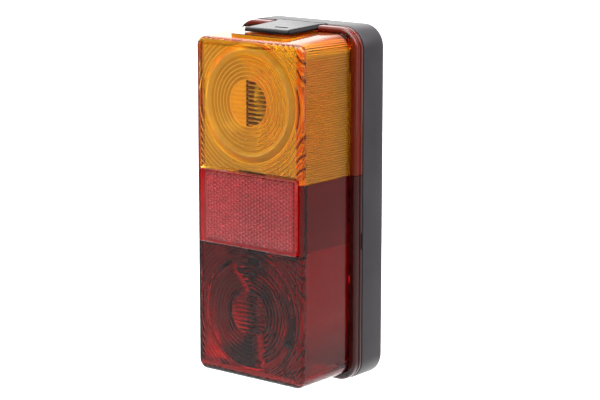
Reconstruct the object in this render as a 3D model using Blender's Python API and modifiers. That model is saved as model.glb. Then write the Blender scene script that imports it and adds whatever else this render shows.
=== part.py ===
"""Trailer tail light: housing tray, two-colour lens with a reflex reflector, latch, two bayonet bulbs."""

import math

import bmesh
import bpy
from mathutils import Matrix, Vector

MM = 0.001
NAME = "tail_light"
MANIFOLD_PARTS = ("housing", "carrier")

# Housing tray: x is across the lamp, y runs into the vehicle, z is up.
HALF_W = 34.4
HALF_H = 80.0
CORNER_R = 10.0
RIM_Y = -15.2
FLOOR_Y = -2.6
WALL = 5.6
CAVITY_X = HALF_W - WALL
CAVITY_Z = HALF_H - WALL
GROOVE_IN = 3.7
GROOVE_HALF = 0.9
GROOVE_FLOOR_Y = -13.4
MOUNT_Z = 65.0
MOUNT_R = 2.6
INLET = (17.0, -38.0)
WEB = 0.6
LIP_X = 18.0
GAP = 0.3
CORNER_STEPS = 5
ROUND = 24

# Lens
FRONT_Y = -53.0
LENS_WALL_Y = -50.5
JUNCTION_Y = -20.5
FLANGE_Y = -15.5
FLANGE_W = 34.1
FLANGE_H = 79.7
SPLIT_Z = 14.6
PARTITION = 1.6
LOWER_PARTITION_Z = -17.1
LATCH_NOTCH = (-15.2, 12.8)
LEDGE_Z = 77.6
OPTIC_Z = (47.5, -47.0)

# Reflex reflector
REFLEX_X = 27.8
REFLEX_Z = 16.6
REFLEX_FRONT_Y = -55.0
REFLEX_BACK_Y = -50.3

# Latch
LATCH_AXIS_Y = -13.9
LATCH_AXIS_Z = 79.0
LATCH_TIP_Y = -40.0
LATCH_X = (-14.6, 12.2)
LATCH_TIP_IN = 0.8
LATCH_CLEAR = 0.4
PIN_R = 0.5
PIN_X = (-16.8, 14.4)
HOOK_X = (-1.5, 6.5)

# Lens swing line along the flange's lower rear edge
SWING_Y = FLANGE_Y
SWING_Z = -FLANGE_H

# Bulbs and sockets share one upright line; the lower set is the upper one turned over
BULB_Y = -28.0
PIN_Z = 15.7
SLEEVE_IN = 7.8
SLEEVE_OUT = 8.4
CONTACT_X = 3.2
TURN_DEG = 20.0

# Carrier block, strips and terminals
BLOCK_X = 13.2
BLOCK_Z = 12.5
TERMINAL_X = 22.0
TERMINAL_Z = 5.5
STRIP_Z = (3.0, 8.0)
PAD_Y = (-6.8, -6.0)
FOOT_SCREW_Z = 19.0
TERMINAL_BOSS_R = 3.4
FOOT_BOSS_R = 4.0
TERMINAL_HOLE_R = 1.6
FOOT_HOLE_R = 1.75
HOLE_FLOOR_Y = -1.6

# White sheet that lines the tray floor
SHEET_X = 27.4
SHEET_Z = 57.0
SHEET_Y = (-3.4, -2.9)
SHEET_CLEAR = 0.5

AMBER = (0.80, 0.27, 0.02)
RED = (0.42, 0.01, 0.012)
BLACK = (0.045, 0.043, 0.045)
DARK = (0.075, 0.070, 0.072)
BRASS = (0.62, 0.44, 0.18)
STEEL = (0.55, 0.55, 0.56)
NICKEL = (0.66, 0.64, 0.60)
SOLDER = (0.50, 0.50, 0.50)
GLASS = (0.93, 0.95, 0.95)
RUBBER = (0.03, 0.03, 0.03)
TUNGSTEN = (0.30, 0.30, 0.32)
INNER_BLACK = (0.045, 0.045, 0.047)
WHITE = (0.80, 0.80, 0.78)


def clear_scene():
    for obj in list(bpy.data.objects):
        bpy.data.objects.remove(obj, do_unlink=True)


def collection(name):
    found = bpy.data.collections.new(name)
    bpy.context.scene.collection.children.link(found)
    return found


def material(name, colour, rough, metal, clear=0.0):
    mat = bpy.data.materials.new(name)
    mat.use_nodes = True
    shader = mat.node_tree.nodes["Principled BSDF"]
    shader.inputs["Base Color"].default_value = (*colour, 1.0)
    shader.inputs["Roughness"].default_value = rough
    shader.inputs["Metallic"].default_value = metal
    shader.inputs["Transmission Weight"].default_value = clear
    return mat


def from_bmesh(bm, name):
    bmesh.ops.recalc_face_normals(bm, faces=bm.faces)
    mesh = bpy.data.meshes.new(name)
    bm.to_mesh(mesh)
    bm.free()
    obj = bpy.data.objects.new(name, mesh)
    PARTS.objects.link(obj)
    return obj


def as_cutter(obj):
    PARTS.objects.unlink(obj)
    CUTTERS.objects.link(obj)
    obj.hide_render = True
    obj.display_type = "WIRE"
    return obj


def boolean(obj, cutter, operation):
    """The exact solver leaves open edges in the tray and the carrier, so those two take the other."""
    as_cutter(cutter)
    mod = obj.modifiers.new(operation.lower(), "BOOLEAN")
    mod.operation = operation
    mod.solver = "MANIFOLD" if obj.name in MANIFOLD_PARTS else "EXACT"
    mod.object = cutter


def cut(obj, *cutters):
    for cutter in cutters:
        boolean(obj, cutter, "DIFFERENCE")


def join(obj, *others):
    for other in others:
        boolean(obj, other, "UNION")


def box(name, x, y, z):
    """A block between the given limits in millimetres."""
    bm = bmesh.new()
    bmesh.ops.create_cube(bm, size=1.0)
    size = Vector((x[1] - x[0], y[1] - y[0], z[1] - z[0])) * MM
    middle = Vector((x[0] + x[1], y[0] + y[1], z[0] + z[1])) * (MM / 2)
    bmesh.ops.scale(bm, vec=size, verts=bm.verts)
    bmesh.ops.translate(bm, vec=middle, verts=bm.verts)
    return from_bmesh(bm, name)


def prism(name, outline, low, high, axis):
    """An outline in the plane across the axis, extruded from low to high along it."""
    bm = bmesh.new()
    order = {"X": (2, 0, 1), "Y": (0, 2, 1), "Z": (0, 1, 2)}[axis]
    ring = []
    for u, v in outline:
        point = (u, v, low)
        ring.append(bm.verts.new([point[i] * MM for i in order]))
    base = bm.faces.new(ring)
    grown = bmesh.ops.extrude_face_region(bm, geom=[base], use_keep_orig=True)["geom"]
    far = [part for part in grown if isinstance(part, bmesh.types.BMVert)]
    along = [0.0, 0.0, high - low]
    bmesh.ops.translate(bm, vec=[along[i] * MM for i in order], verts=far)
    return from_bmesh(bm, name)


def bridge(bm, first, second):
    count = len(first)
    for i in range(count):
        j = (i + 1) % count
        bm.faces.new((first[i], first[j], second[j], second[i]))


def rounded(half_x, low, high, radius, y):
    """A rounded rectangle's points across the lamp at one depth."""
    points = []
    corners = ((1, high), (-1, high), (-1, low), (1, low))
    for index, (side, level) in enumerate(corners):
        up = 1 if level == high else -1
        for step in range(CORNER_STEPS + 1):
            angle = math.radians(90 * (index + step / CORNER_STEPS))
            x = side * (half_x - radius) + radius * math.cos(angle)
            z = level - up * radius + radius * math.sin(angle)
            points.append((x * MM, y * MM, z * MM))
    return points


def loft(name, sections, closed_ring=False):
    """Skins rings of equal count in order, with end caps, or round to the first when closed_ring."""
    bm = bmesh.new()
    rings = [[bm.verts.new(p) for p in section] for section in sections]
    for first, second in zip(rings, rings[1:]):
        bridge(bm, first, second)
    if closed_ring:
        bridge(bm, rings[-1], rings[0])
    else:
        bm.faces.new(rings[0])
        bm.faces.new(rings[-1])
    return from_bmesh(bm, name)


def turned(name, profile, at, axis="Z", steps=ROUND):
    """A profile of radius and height, turned about an axis through the point."""
    mesh = bpy.data.meshes.new(name)
    verts = [(radius * MM, 0.0, height * MM) for radius, height in profile]
    count = len(verts)
    edges = [(i, i + 1) for i in range(count - 1)]
    if profile[0][0] > 0 or profile[-1][0] > 0:
        edges.append((count - 1, 0))
    mesh.from_pydata(verts, edges, [])
    obj = bpy.data.objects.new(name, mesh)
    PARTS.objects.link(obj)
    mod = obj.modifiers.new("turn", "SCREW")
    mod.steps = steps
    mod.render_steps = steps
    mod.use_merge_vertices = True
    mod.merge_threshold = 0.00001
    mod.use_smooth_shade = True
    obj.location = Vector(at) * MM
    turns = {"Z": (0, 0, 0), "-Z": (math.pi, 0, 0), "Y": (-math.pi / 2, 0, 0),
             "-Y": (math.pi / 2, 0, 0), "X": (0, math.pi / 2, 0)}
    obj.rotation_euler = turns[axis]
    return obj


def rod(name, radius, low, high, at, axis="Z", steps=ROUND):
    """A plain cylinder from low to high along its axis."""
    return turned(name, [(0, high), (radius, high), (radius, low), (0, low)], at, axis, steps)


def wire(name, points, radius, sides=1):
    curve = bpy.data.curves.new(name, "CURVE")
    curve.dimensions = "3D"
    curve.bevel_depth = radius * MM
    curve.bevel_resolution = sides
    curve.use_fill_caps = True
    spline = curve.splines.new("POLY")
    spline.points.add(len(points) - 1)
    for knot, point in zip(spline.points, points):
        knot.co = (*(Vector(point) * MM), 1.0)
    holder = bpy.data.objects.new(name, curve)
    PARTS.objects.link(holder)
    mesh = bpy.data.meshes.new_from_object(holder)
    bpy.data.objects.remove(holder)
    bm = bmesh.new()
    bm.from_mesh(mesh)
    bmesh.ops.remove_doubles(bm, verts=bm.verts, dist=0.00001)
    return from_bmesh(bm, name)


def finish(obj, look, pivot=None):
    """Sets the material, smooth shading and, for a moving piece, the origin on its axis."""
    colour, rough, metal, clear = look
    obj.data.materials.append(material(obj.name, colour, rough, metal, clear))
    obj.data.shade_smooth()
    if obj.data.polygons:
        obj.data.set_sharp_from_angle(angle=math.radians(35))
    if pivot:
        shift = Vector(pivot) * MM
        obj.data.transform(Matrix.Translation(obj.matrix_world.inverted() @ -shift))
        obj.location = shift
    return obj


# ---- housing ----

def housing_section(inset, y):
    return rounded(HALF_W - inset, inset - HALF_H, HALF_H - inset, CORNER_R - 0.95 * inset, y)


def make_housing():
    outline = ((1.5, 0.0), (0.45, -0.45), (0.0, -1.5), (0.0, RIM_Y + 0.4), (0.4, RIM_Y),
               (WALL, RIM_Y), (WALL, FLOOR_Y))
    body = loft("housing", [housing_section(inset, y) for inset, y in outline])
    add_bosses(body)
    cut_groove(body)
    cut_latch_pocket(body)
    cut_lip_pockets(body)
    cut_back_holes(body)
    return finish(body, (DARK, 0.42, 0.0, 0.0))


def add_bosses(body):
    for x in (-TERMINAL_X, TERMINAL_X):
        for z in (-TERMINAL_Z, TERMINAL_Z):
            join(body, rod("terminal_boss", TERMINAL_BOSS_R, -5.7, FLOOR_Y + 0.6, (x, 0, z), "Y", 16))
    for z in (-FOOT_SCREW_Z, FOOT_SCREW_Z):
        join(body, rod("carrier_boss", FOOT_BOSS_R, -4.7, FLOOR_Y + 0.6, (0, 0, z), "Y", 16))
    for x in (-TERMINAL_X, TERMINAL_X):
        for z in (-TERMINAL_Z, TERMINAL_Z):
            cut(body, rod("terminal_hole", TERMINAL_HOLE_R, -6.0, HOLE_FLOOR_Y, (x, 0, z), "Y", 12))
    for z in (-FOOT_SCREW_Z, FOOT_SCREW_Z):
        cut(body, rod("carrier_hole", FOOT_HOLE_R, -5.0, HOLE_FLOOR_Y, (0, 0, z), "Y", 12))


def cut_groove(body):
    rings = []
    for inset, y in ((GROOVE_IN - GROOVE_HALF, RIM_Y - 1), (GROOVE_IN + GROOVE_HALF, RIM_Y - 1),
                     (GROOVE_IN + GROOVE_HALF, GROOVE_FLOOR_Y), (GROOVE_IN - GROOVE_HALF, GROOVE_FLOOR_Y)):
        rings.append(housing_section(inset, y))
    cut(body, loft("gasket_groove", rings, closed_ring=True))


def cut_latch_pocket(body):
    left = LATCH_X[0] - LATCH_CLEAR
    right = LATCH_X[1] + LATCH_CLEAR
    cut(body, box("latch_pocket", (left, right), (RIM_Y - 1, LATCH_AXIS_Y + 1.3), (77.7, 81.0)))
    for ends in ((left - 1.6, left + 0.2), (right - 0.2, right + 1.6)):
        cut(body, box("latch_relief", ends, (RIM_Y - 1, -14.6), (78.4, 81.0)))
    ends = (PIN_X[0] - GAP, PIN_X[1] + GAP)
    cut(body, rod("latch_pin_hole", PIN_R + 0.05, *ends, (0, LATCH_AXIS_Y, LATCH_AXIS_Z), "X", 16))


def cut_lip_pockets(body):
    for x in (-LIP_X, LIP_X):
        cut(body, box("lip_pocket", (x - 4.6, x + 4.6), (-12.5, -7.5), (-75.9, -73.5)))


def cut_back_holes(body):
    for z in (-MOUNT_Z, MOUNT_Z):
        cut(body, rod("knock_out", MOUNT_R, FLOOR_Y + WEB, 1.0, (0, 0, z), "Y"))
    cut(body, rod("inlet_hole", 6.0, -4.0, 1.0, (INLET[0], 0, INLET[1]), "Y"))
    cut(body, rod("inlet_recess", 8.6, -1.2, 1.0, (INLET[0], 0, INLET[1]), "Y"))


def make_gasket():
    rings = []
    for inset, y in ((GROOVE_IN - 0.6, -15.4), (GROOVE_IN + 0.6, -15.4),
                     (GROOVE_IN + 0.6, GROOVE_FLOOR_Y - GAP), (GROOVE_IN - 0.6, GROOVE_FLOOR_Y - GAP)):
        rings.append(housing_section(inset, y))
    return finish(loft("gasket", rings, closed_ring=True), (RUBBER, 0.8, 0.0, 0.0))


def make_sheet():
    """White sheet on the tray floor, holed round the bosses and the cable grommet."""
    body = box("reflector_sheet", (-SHEET_X, SHEET_X), SHEET_Y, (-SHEET_Z, SHEET_Z))
    holes = [(INLET, 8.6)]
    for sign in (-1, 1):
        holes.append(((0, sign * FOOT_SCREW_Z), FOOT_BOSS_R + SHEET_CLEAR))
        for side in (-1, 1):
            holes.append(((side * TERMINAL_X, sign * TERMINAL_Z), TERMINAL_BOSS_R + SHEET_CLEAR))
    for (x, z), radius in holes:
        cut(body, rod("clearance", radius, -6.0, 0.0, (x, 0, z), "Y"))
    return finish(body, (WHITE, 0.35, 0.0, 0.0))


def make_grommet():
    profile = ((8.2, -0.1), (8.2, -0.9), (5.7, -0.9), (5.7, -2.9), (8.0, -2.9), (7.4, -4.4),
               (4.6, -5.4), (3.4, -5.4), (3.4, -0.1))
    return finish(turned("grommet", profile, (INLET[0], 0, INLET[1]), "Y"), (RUBBER, 0.75, 0.0, 0.0))


# ---- lens ----

def lens_rings():
    """Outer skin from the front back over the flange, then the inner skin forward again."""
    skin = ((FRONT_Y, 28.7, -74.9, 73.7, 3.0), (FRONT_Y + 0.3, 29.55, -75.75, 74.55, 3.7),
            (FRONT_Y + 0.9, 30.1, -76.3, 75.1, 4.2), (FRONT_Y + 1.7, 30.3, -76.5, 75.3, 4.4),
            (JUNCTION_Y, 30.95, -76.8, 77.3, 6.0))
    flange = ((JUNCTION_Y, 1.0), (-20.1, 0.35), (-19.3, 0.0), (-17.8, 0.0), (-17.5, 0.55),
              (-17.1, 0.55), (-16.8, -0.1), (-15.9, -0.1), (FLANGE_Y, 0.3))
    inside = ((FLANGE_Y, 28.6, -74.2, 74.2, 5.0), (JUNCTION_Y - 1, 28.5, -74.2, 74.2, 4.6),
              (LENS_WALL_Y, 27.8, -74.0, 72.7, 2.4))
    rings = [rounded(hw, low, high, r, y) for y, hw, low, high, r in skin]
    rings += [rounded(FLANGE_W - i, i - FLANGE_H, FLANGE_H - i, 9.7 - i, y) for y, i in flange]
    rings += [rounded(hw, low, high, r, y) for y, hw, low, high, r in inside]
    return rings


def optic_rings(name, z):
    """A turned comb that sinks the optic's ring grooves into the inner face of the front wall."""
    base = LENS_WALL_Y + 0.4
    comb = [(10.5, base)]
    radius = 10.5
    while radius < 24.0:
        comb += [(radius, LENS_WALL_Y - 0.6), (radius + 2.0, LENS_WALL_Y + 0.1)]
        radius += 2.4
    comb.append((radius - 0.4, base))
    comb.reverse()
    return turned(name, comb, (0, 0, z), "Y", 32)


def make_amber():
    body = loft("lens_amber", lens_rings())
    ledge = [(-14.5, -47.0), (14.0, -47.0), (16.0, -45.0), (16.0, -19.0), (-16.0, -19.0), (-16.0, -45.5)]
    join(body, prism("latch_ledge", ledge, 74.0, LEDGE_Z, "Z"))
    cut(body, box("below_amber", (-40, 40), (-60, 0), (-90, SPLIT_Z + GAP)))
    cut(body, box("reflex_opening", (-28.1, 28.1), (-60, -49), (0, REFLEX_Z + GAP)))
    cut(body, box("latch_notch", LATCH_NOTCH, (-21.2, -14), (LEDGE_Z, 90)))
    cut(body, box("hook_recess", (-2.1, 7.1), (-33.9, -31.0), (76.3, 79.0)))
    cut(body, optic_rings("amber_rings", OPTIC_Z[0]))
    return finish(body, (AMBER, 0.12, 0.0, 0.8), (0, SWING_Y, SWING_Z))


def make_red():
    body = loft("lens_red", lens_rings())
    cut(body, box("above_red", (-40, 40), (-60, 0), (SPLIT_Z, 90)))
    cut(body, box("reflex_opening", (-28.1, 28.1), (-60, -49), (-REFLEX_Z - GAP, 30)))
    seat = box("reflex_seat", (-29, 29), (-50.0, -48.4), (LOWER_PARTITION_Z + 0.2, SPLIT_Z - 0.2))
    upper = box("partition_upper", (-29, 29), (-49.0, -21.0), (SPLIT_Z - PARTITION, SPLIT_Z))
    lower_top = LOWER_PARTITION_Z + PARTITION
    lower = box("partition_lower", (-29, 29), (-49.0, -21.0), (LOWER_PARTITION_Z, lower_top))
    sill = box("reflex_sill", (-29, 29), (-50.8, -48.6), (LOWER_PARTITION_Z - 1.2, -REFLEX_Z - 0.35))
    join(body, seat, upper, lower, sill)
    for x in (-LIP_X, LIP_X):
        span = (x - 4.0, x + 4.0)
        join(body, box("tongue_root", span, (-24.0, -15.55), (-75.0, -72.1)))
        join(body, box("tongue", span, (-24.0, -9.5), (-74.1, -72.1)))
        join(body, box("tongue_lip", span, (-11.0, -9.5), (-75.4, -72.5)))
    cut(body, box("socket_notch", (-15.5, 15.5), (-44.0, 0), (-18.0, 15.0)))
    cut(body, box("pry_notch", (33.4, 36.0), (-16.7, -15.0), (-18.8, -11.6)))
    cut(body, optic_rings("red_rings", OPTIC_Z[1]))
    return finish(body, (RED, 0.14, 0.0, 0.7), (0, SWING_Y, SWING_Z))


def make_reflex():
    body = prism("reflex_reflector", [(-REFLEX_X, -REFLEX_Z), (REFLEX_X, -REFLEX_Z),
                                      (REFLEX_X, REFLEX_Z), (-REFLEX_X, REFLEX_Z)],
                 REFLEX_FRONT_Y, REFLEX_BACK_Y, "Y")
    rows = 15
    pitch = 2 * 15.0 / rows
    comb = [(REFLEX_BACK_Y + 1, 15.0), (REFLEX_BACK_Y + 1, -15.0)]
    for row in range(rows):
        low = -15.0 + row * pitch
        comb += [(REFLEX_BACK_Y - 0.3, low), (REFLEX_BACK_Y - 1.3, low + pitch / 2)]
    comb.append((REFLEX_BACK_Y - 0.3, 15.0))
    cut(body, prism("prism_rows", comb, -26.0, 26.0, "X"))
    return finish(body, (RED, 0.1, 0.0, 0.6), (0, SWING_Y, SWING_Z))


# ---- latch ----

def make_latch():
    outline = [(LATCH_TIP_Y, 78.0)]
    for step in range(9):
        angle = math.radians(-90 + 22.5 * step)
        outline.append((LATCH_AXIS_Y + math.cos(angle), LATCH_AXIS_Z + math.sin(angle)))
    outline += [(LATCH_TIP_Y + 0.6, 80.0), (LATCH_TIP_Y, 79.5)]
    body = prism("latch", outline, *LATCH_X, "X")
    for vert in body.data.vertices:
        if vert.co.y < (LATCH_TIP_Y + 2) * MM:
            vert.co.x -= math.copysign(LATCH_TIP_IN * MM, vert.co.x)
    join(body, box("hook", HOOK_X, (-33.2, -31.5), (76.8, 78.4)))
    cut(body, box("slot_mark", HOOK_X, (-32.2, -30.8), (79.2, 81.0)))
    hole = rod("pin_bore", PIN_R + 0.05, -20, 20, (0, LATCH_AXIS_Y, LATCH_AXIS_Z), "X", 16)
    cut(body, hole)
    return finish(body, (BLACK, 0.35, 0.0, 0.0), (0, LATCH_AXIS_Y, LATCH_AXIS_Z))


def make_latch_pin():
    pin = rod("latch_pin", PIN_R, *PIN_X, (0, LATCH_AXIS_Y, LATCH_AXIS_Z), "X", 16)
    return finish(pin, (STEEL, 0.3, 1.0, 0.0))


# ---- carrier and electrics ----

def make_carrier():
    body = box("carrier", (-BLOCK_X, BLOCK_X), (-38.0, -5.0), (-BLOCK_Z, BLOCK_Z))
    join(body, box("carrier_foot", (-6, 6), (-7.5, -5.0), (-24, 24)))
    for sign, axis in ((1, "Z"), (-1, "-Z")):
        cut(body, rod("sleeve_bore", SLEEVE_OUT + GAP, 6.3, 14, (0, BULB_Y, 0), axis, 32))
    cut(body, rod("plunger_bore", 4.6, 3.3, 7.0, (0, BULB_Y, 0), "Z"))
    for x in (-CONTACT_X, CONTACT_X):
        cut(body, rod("plunger_bore", 2.5, 3.3, 7.0, (x, BULB_Y, 0), "-Z", 16))
    depth = (-31.3, -24.7)
    cut(body, box("strip_slot", (-4.3, 14), depth, (2.7, 4.1)))
    cut(body, box("strip_slot", (0.6, 14), depth, (-4.1, -2.7)))
    cut(body, box("strip_slot", (-14, -0.6), depth, (-4.1, -2.7)))
    slot = [(-14, 2.7), (-4.3, 2.7), (-4.3, -11.3), (4.3, -11.3)]
    slot += [(4.3, 13), (-4.3, 13), (-4.3, 8.3), (-14, 8.3)]
    cut(body, prism("earth_slot", slot, -19.6, -18.2, "Y"))
    for z in (-FOOT_SCREW_Z, FOOT_SCREW_Z):
        cut(body, rod("foot_hole", 1.75, -9.0, -4.0, (0, 0, z), "Y", 12))
    return finish(body, (INNER_BLACK, 0.5, 0.0, 0.0))


def make_strip(name, side, sign, tongue_end, depth):
    """A bent strip from a terminal pad up the block's flank and in under its contact."""
    low, high = sorted((sign * STRIP_Z[0], sign * STRIP_Z[1]))
    inner = side * (BLOCK_X + 0.4)
    outer = side * (BLOCK_X + 1.2)
    body = box(name, sorted((inner, side * 26.4)), PAD_Y, sorted((sign * 1.2, sign * 9.8)))
    join(body, box("riser", sorted((inner, outer)), (depth[0], PAD_Y[1]), (low, high)))
    blade = sorted((sign * STRIP_Z[0], sign * (STRIP_Z[0] + 0.8)))
    join(body, box("blade", sorted((outer, tongue_end)), depth, blade))
    cut(body, rod("screw_hole", 1.6, -9.0, -4.0, (side * TERMINAL_X, 0, sign * TERMINAL_Z), "Y", 12))
    return finish(body, (BRASS, 0.35, 1.0, 0.0))


def make_earth_strip():
    flat = (-19.3, -18.5)
    inner = -(BLOCK_X + 0.4)
    outer = -(BLOCK_X + 1.2)
    body = box("strip_earth", (-26.4, inner), PAD_Y, (1.2, 9.8))
    join(body, box("riser", (outer, inner), (flat[0], PAD_Y[1]), STRIP_Z))
    join(body, box("arm", (outer, 4.0), flat, STRIP_Z))
    join(body, box("bridge", (-4.0, 4.0), flat, (-11.0, 12.2)))
    cut(body, rod("screw_hole", 1.6, -9.0, -4.0, (-TERMINAL_X, 0, TERMINAL_Z), "Y", 12))
    return finish(body, (BRASS, 0.35, 1.0, 0.0))


def make_screw(name, x, z, head, shank, seat_y, tip_y):
    """A slotted pan head screw driven into the floor."""
    profile = ((0, tip_y), (shank, tip_y), (shank, seat_y), (head, seat_y), (head, seat_y - 1.2),
               (head * 0.6, seat_y - 2.0), (0, seat_y - 2.0))
    body = turned(name, profile, (x, 0, z), "Y", 16)
    cut(body, box("driver_slot", (x - 4, x + 4), (seat_y - 3, seat_y - 1.1), (z - 0.4, z + 0.4)))
    return finish(body, (STEEL, 0.35, 1.0, 0.0))


def sector(name, radii, levels, angles, steps=6):
    """A curved block about the bulb line."""
    inner, outer = radii
    points = []
    for radius, span in ((outer, range(steps + 1)), (inner, range(steps, -1, -1))):
        for step in span:
            angle = math.radians(angles[0] + (angles[1] - angles[0]) * step / steps)
            points.append((radius * math.cos(angle), BULB_Y + radius * math.sin(angle)))
    return prism(name, points, levels[0], levels[1], "Z")


def make_socket(name, sign):
    """A sleeve with two bayonet slots, each an entry leg and a locking leg."""
    axis = "Z" if sign > 0 else "-Z"
    profile = ((SLEEVE_OUT, 19.7), (SLEEVE_OUT, 6.6), (SLEEVE_IN, 6.6), (SLEEVE_IN, 19.7))
    body = turned(name, profile, (0, BULB_Y, 0), axis, 32)
    slack = 9.8
    for start in (90, 270):
        locking = sorted((sign * (PIN_Z - 1.3), sign * (PIN_Z + 1.3)))
        entry = sorted((sign * (PIN_Z - 1.3), sign * 21.0))
        radii = (7.0, 9.4)
        cut(body, sector("lock_leg", radii, locking, (start - slack, start + TURN_DEG + slack)))
        cut(body, sector("entry_leg", radii, entry, (start + TURN_DEG - slack, start + TURN_DEG + slack)))
    return finish(body, (NICKEL, 0.3, 1.0, 0.0))


def make_plunger(name, x, sign, disc, stem):
    axis = "Z" if sign > 0 else "-Z"
    profile = ((0, 7.6), (disc, 7.6), (disc, 6.4), (stem, 6.4), (stem, 5.4), (0, 5.4))
    return finish(turned(name, profile, (x, BULB_Y, 0), axis, 16), (BRASS, 0.3, 1.0, 0.0))


def make_spring(name, x, sign, mean):
    turns = 2.5
    steps = 10
    points = []
    for step in range(int(turns * steps) + 1):
        angle = 2 * math.pi * step / steps
        level = 4.35 + (6.0 - 4.35) * step / (turns * steps)
        points.append((x + mean * math.cos(angle), BULB_Y + mean * math.sin(angle), sign * level))
    return finish(wire(name, points, 0.2), (STEEL, 0.3, 1.0, 0.0))


# ---- bulbs ----

def make_glass(name, sign):
    outer = ((0, 61.3), (5.2, 60.2), (9.2, 57.2), (11.9, 52.6), (13.0, 47.0), (12.4, 41.0), (10.4, 34.0),
             (8.0, 28.0), (6.8, 24.0), (6.8, 11.6))
    wall = 0.7
    inner = [(max(r - wall, 0), h if h < 30 else h - wall * (h - 30) / 31) for r, h in reversed(outer)]
    inner[0] = (outer[-1][0] - wall, outer[-1][1])
    axis = "Z" if sign > 0 else "-Z"
    return finish(turned(name, (*outer, *inner), (0, BULB_Y, 0), axis), (GLASS, 0.03, 0.0, 1.0))


def make_cap(name, sign):
    axis = "Z" if sign > 0 else "-Z"
    profile = ((7.5, 23.0), (7.5, 9.4), (5.0, 9.4), (5.0, 9.8), (7.1, 9.8), (7.1, 23.0))
    body = turned(name, profile, (0, BULB_Y, 0), axis)
    for span in ((7.2, 8.6), (-8.6, -7.2)):
        join(body, rod("bayonet_pin", 1.0, span[0], span[1], (0, BULB_Y, sign * PIN_Z), "Y", 12))
    return finish(body, (BRASS, 0.28, 1.0, 0.0))


def make_insulator(name, sign):
    axis = "Z" if sign > 0 else "-Z"
    profile = ((0, 11.3), (6.8, 11.3), (6.8, 10.1), (4.7, 10.1), (4.7, 8.9), (0, 8.9))
    return finish(turned(name, profile, (0, BULB_Y, 0), axis), (BLACK, 0.2, 0.0, 0.0))


def make_contact(name, x, sign, radius):
    """A solder dome; its origin stays on the bulb line, about which it turns."""
    axis = "Z" if sign > 0 else "-Z"
    profile = ((0, 8.6), (radius, 8.6), (radius, 8.35), (radius * 0.65, 8.0), (0, 7.9))
    return finish(turned(name, profile, (x, BULB_Y, 0), axis, 12), (SOLDER, 0.4, 1.0, 0.0))


def make_filament(name, level, sign, half, offset):
    """Two support wires with the coil strung between them."""
    points = [(-half, BULB_Y + offset, sign * 12.2), (-half, BULB_Y + offset, sign * level)]
    turns = 5
    steps = 6
    for step in range(turns * steps + 1):
        angle = 2 * math.pi * step / steps
        x = -half + 1.0 + (2 * half - 2.0) * step / (turns * steps)
        rise = level + 0.55 * math.cos(angle)
        points.append((x, BULB_Y + offset + 0.55 * math.sin(angle), sign * rise))
    points += [(half, BULB_Y + offset, sign * level), (half, BULB_Y + offset, sign * 12.2)]
    return finish(wire(name, points, 0.16), (TUNGSTEN, 0.4, 1.0, 0.0))


def make_bulbs():
    for name, sign in (("indicator", 1), ("stop_tail", -1)):
        make_glass("glass_" + name, sign)
        make_cap("cap_" + name, sign)
        make_insulator("insulator_" + name, sign)
        make_socket("socket_" + name, sign)
    make_contact("contact_indicator", 0, 1, 2.0)
    make_contact("contact_stop", CONTACT_X, -1, 1.3)
    make_contact("contact_tail", -CONTACT_X, -1, 1.3)
    make_filament("filament_indicator", 47.5, 1, 4.0, 0.0)
    make_filament("filament_stop", 47.0, -1, 4.0, 1.6)
    make_filament("filament_tail", 42.5, -1, 3.0, -1.6)


def make_electrics():
    make_strip("strip_indicator", 1, 1, -4.0, (-31.0, -25.0))
    make_strip("strip_stop", 1, -1, 0.9, (-31.0, -25.0))
    make_strip("strip_tail", -1, -1, -0.9, (-31.0, -25.0))
    make_earth_strip()
    make_plunger("plunger_indicator", 0, 1, 4.2, 1.2)
    make_plunger("plunger_stop", CONTACT_X, -1, 2.2, 0.7)
    make_plunger("plunger_tail", -CONTACT_X, -1, 2.2, 0.7)
    make_spring("spring_indicator", 0, 1, 2.2)
    make_spring("spring_stop", CONTACT_X, -1, 1.4)
    make_spring("spring_tail", -CONTACT_X, -1, 1.4)
    names = {(1, 1): "indicator", (1, -1): "stop", (-1, -1): "tail", (-1, 1): "earth"}
    for (side, sign), label in names.items():
        make_screw("terminal_screw_" + label, side * TERMINAL_X, sign * TERMINAL_Z, 2.8, 1.3, -7.1, -3.2)
    for sign, label in ((1, "upper"), (-1, "lower")):
        make_screw("carrier_screw_" + label, 0, sign * FOOT_SCREW_Z, 3.2, 1.45, -7.8, -2.8)


clear_scene()
PARTS = collection(NAME)
CUTTERS = collection(NAME + "_cutters")
make_housing()
make_gasket()
make_grommet()
make_sheet()
make_carrier()
make_electrics()
make_bulbs()
make_amber()
make_red()
make_reflex()
make_latch()
make_latch_pin()
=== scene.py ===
"""Looks of the trailer tail light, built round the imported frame."""

import math

import bmesh
import bpy
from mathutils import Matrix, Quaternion, Vector


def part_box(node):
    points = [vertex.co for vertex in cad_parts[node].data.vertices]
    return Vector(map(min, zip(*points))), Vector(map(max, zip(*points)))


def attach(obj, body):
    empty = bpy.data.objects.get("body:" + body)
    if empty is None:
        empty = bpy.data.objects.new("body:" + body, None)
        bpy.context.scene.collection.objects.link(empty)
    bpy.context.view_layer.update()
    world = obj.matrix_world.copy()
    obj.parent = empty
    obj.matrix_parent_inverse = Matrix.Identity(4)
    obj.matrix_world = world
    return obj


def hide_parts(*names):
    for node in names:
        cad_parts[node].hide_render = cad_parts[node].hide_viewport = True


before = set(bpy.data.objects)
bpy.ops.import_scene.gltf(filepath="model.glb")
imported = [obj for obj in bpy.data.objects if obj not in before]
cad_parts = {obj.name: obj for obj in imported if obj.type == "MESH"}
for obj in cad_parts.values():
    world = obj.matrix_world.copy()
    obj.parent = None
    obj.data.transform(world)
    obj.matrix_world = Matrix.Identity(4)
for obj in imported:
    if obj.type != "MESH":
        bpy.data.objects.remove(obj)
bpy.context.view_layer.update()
MM = 0.001


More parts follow.
